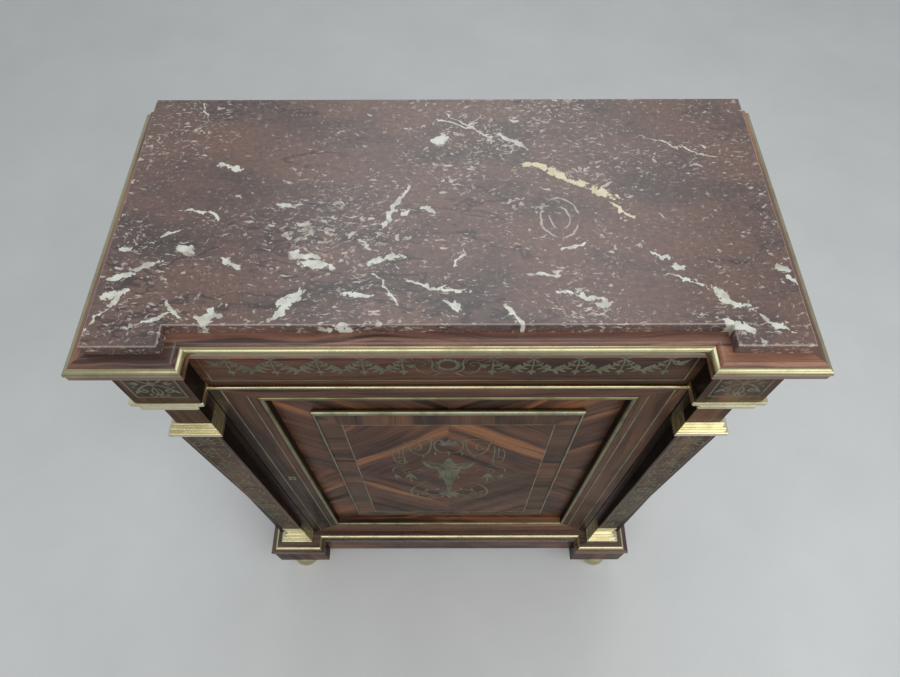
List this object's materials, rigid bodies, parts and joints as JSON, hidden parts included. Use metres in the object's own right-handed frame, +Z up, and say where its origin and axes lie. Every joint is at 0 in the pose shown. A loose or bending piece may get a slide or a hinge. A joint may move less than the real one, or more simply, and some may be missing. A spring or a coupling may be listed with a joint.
{
  "type": "side cabinet",
  "caption": "Tall narrow side cabinet with a breakfront marble top, tapered corner pilasters, brass mouldings and a single swinging panelled door.",
  "frame": {"origin": "on the floor under the middle of the cabinet's overall box", "axes": "+Z up, +X to the right of someone facing the door, the door faces -Y"},
  "size_m": [0.826, 0.401, 1.1],
  "materials": {
    "marble": "polished red-brown marble",
    "rosewood": "polished rosewood veneer",
    "inner_wood": "bare planed wood",
    "brass": "worn polished brass",
    "steel": "aged steel"
  },
  "bodies": {
    "cabinet": {"marble_top": "marble", "top_board": "rosewood", "cornice_fillet": "rosewood", "frieze_board": "rosewood", "frieze_block_left": "rosewood", "frieze_block_right": "rosewood", "pilaster_neck_left": "rosewood", "pilaster_neck_right": "rosewood", "pilaster_shaft_left": "rosewood", "pilaster_shaft_right": "rosewood", "corner_post_left": "rosewood", "corner_post_right": "rosewood", "side_panel_left": "rosewood", "side_panel_right": "rosewood", "plinth_top": "rosewood", "plinth_edge": "rosewood", "plinth_front": "rosewood", "plinth_block_left": "rosewood", "plinth_block_right": "rosewood", "plinth_side_left": "rosewood", "plinth_side_right": "rosewood", "back_panel": "inner_wood", "bottom_board": "inner_wood", "door_stop": "inner_wood", "shelf_lower": "inner_wood", "shelf_upper": "inner_wood", "shelf_cleats": "inner_wood", "plinth_back": "inner_wood", "rear_foot_blocks": "inner_wood", "cornice_brass": "brass", "frieze_bead": "brass", "block_moulding_left": "brass", "block_moulding_right": "brass", "capital_left": "brass", "capital_right": "brass", "base_moulding_left": "brass", "base_moulding_right": "brass", "plinth_brass": "brass", "lock_keep": "brass", "lower_pivot_plate": "brass", "upper_pivot_plate": "brass", "front_foot_left": "brass", "front_foot_right": "brass", "rear_foot_left": "brass", "rear_foot_right": "brass", "keep_screws": "steel"},
    "door": {"door_stile_left": "rosewood", "door_stile_right": "rosewood", "door_rail_top": "rosewood", "door_rail_bottom": "rosewood", "door_panel": "rosewood", "door_field": "rosewood", "door_bead": "brass", "field_moulding": "brass", "escutcheon": "brass", "lock_case": "steel", "lock_screws": "steel", "lower_pivot_socket": "brass", "upper_pivot_socket": "brass"},
    "bolt": {"lock_bolt": "brass"}
  },
  "joints": [
    {"name": "door_hinge", "type": "hinge", "parent": "cabinet", "child": "door", "pos_m": [0.301, -0.1465, 0.175], "axis": [0, 0, 1], "range_deg": [0, 95]},
    {"name": "bolt_slide", "type": "slide", "parent": "door", "child": "bolt", "axis": [-1, 0, 0], "range_m": [0, 0.009]}
  ]
}
